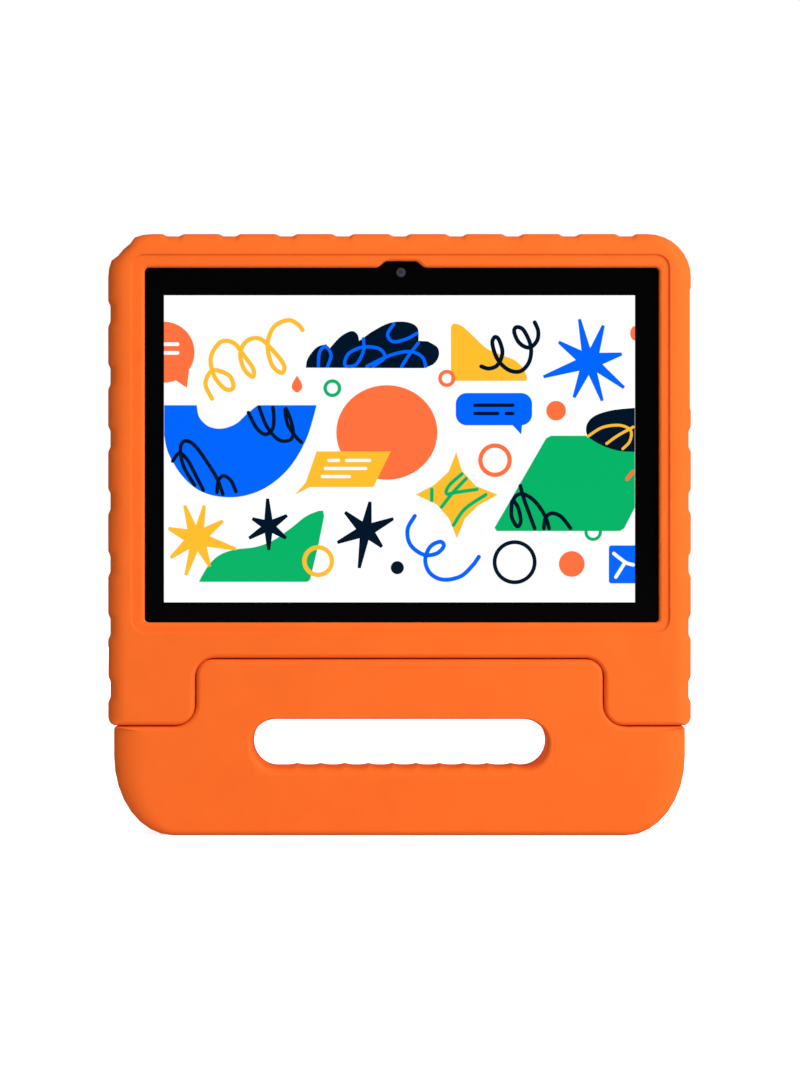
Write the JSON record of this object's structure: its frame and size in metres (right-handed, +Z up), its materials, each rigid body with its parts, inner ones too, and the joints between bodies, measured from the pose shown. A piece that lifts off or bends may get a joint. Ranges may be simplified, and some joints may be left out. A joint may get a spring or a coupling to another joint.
{
  "type": "kids tablet",
  "caption": "Touch-screen tablet in a thick orange foam bumper case; the foam carry handle on its lower edge folds back on a friction hinge to make a stand.",
  "frame": {"origin": "middle of the handle's flat lower edge, on the surface the upright tablet stands on; halfway through the case's thickness", "axes": "+X to the viewer's right when facing the screen, +Y from the screen to the back, +Z up along the tablet's height"},
  "size_m": [0.268, 0.025, 0.276],
  "materials": {
    "orange_foam": "matte",
    "housing_plastic": "satin",
    "grey_plastic": "satin",
    "steel": "satin",
    "black_rubber": "matte",
    "screen_glass": "polished",
    "lens_glass": "polished",
    "adhesive_foam": "matte",
    "screen_panel": "gloss",
    "diffuser_plastic": "satin",
    "tray_metal": "satin",
    "flat_cable": "satin",
    "cell_foil": "satin",
    "red_wire": "satin",
    "black_wire": "satin",
    "board_green": "satin",
    "chip_black": "matte"
  },
  "bodies": {
    "case": {"antenna_film": "flat_cable", "battery_cell_left": "cell_foil", "battery_cell_right": "cell_foil", "battery_lead_black": "black_wire", "battery_lead_red": "red_wire", "battery_plug": "diffuser_plastic", "board_screw_1": "steel", "board_screw_2": "steel", "board_screw_3": "steel", "board_screw_4": "steel", "chassis_frame": "grey_plastic", "display_panel": "screen_panel", "display_ribbon": "flat_cable", "display_tray": "tray_metal", "foam_case": "orange_foam", "friction_ring_left": "black_rubber", "friction_ring_right": "black_rubber", "front_camera": "chip_black", "front_glass": "screen_glass", "glass_adhesive": "adhesive_foam", "headphone_jack": "chip_black", "hinge_bush_left": "housing_plastic", "hinge_bush_right": "housing_plastic", "key_strip": "flat_cable", "light_guide": "diffuser_plastic", "main_board": "board_green", "memory_chip": "chip_black", "microphone": "tray_metal", "power_switch": "grey_plastic", "processor": "chip_black", "processor_shield": "tray_metal", "radio_chip": "chip_black", "radio_shield": "tray_metal", "rear_camera": "chip_black", "rear_camera_lens": "lens_glass", "rear_camera_trim": "grey_plastic", "rear_cover": "housing_plastic", "speaker_left": "chip_black", "speaker_right": "chip_black", "usb_c_socket": "steel", "volume_down_switch": "grey_plastic", "volume_up_switch": "grey_plastic"},
    "handle": {"handle_foam": "orange_foam", "handle_core": "grey_plastic", "hinge_pin_left": "steel", "hinge_pin_right": "steel"},
    "power_button": {"power_button": "housing_plastic"},
    "volume_rocker": {"volume_rocker": "housing_plastic"}
  },
  "joints": [
    {"name": "handle_fold", "type": "hinge", "parent": "case", "child": "handle", "pos_m": [0, 0.006, 0.068], "axis": [1, 0, 0], "range_deg": [0, 120]},
    {"name": "power_press", "type": "slide", "parent": "case", "child": "power_button", "axis": [-1, 0, 0], "range_m": [0, 0.0004], "stiffness_N_per_m": 1500},
    {"name": "volume_rock", "type": "hinge", "parent": "case", "child": "volume_rocker", "pos_m": [0.1199, -0.00425, 0.228], "axis": [0, 1, 0], "range_deg": [-2.2, 2.2], "stiffness_Nm_per_rad": 0.4}
  ]
}
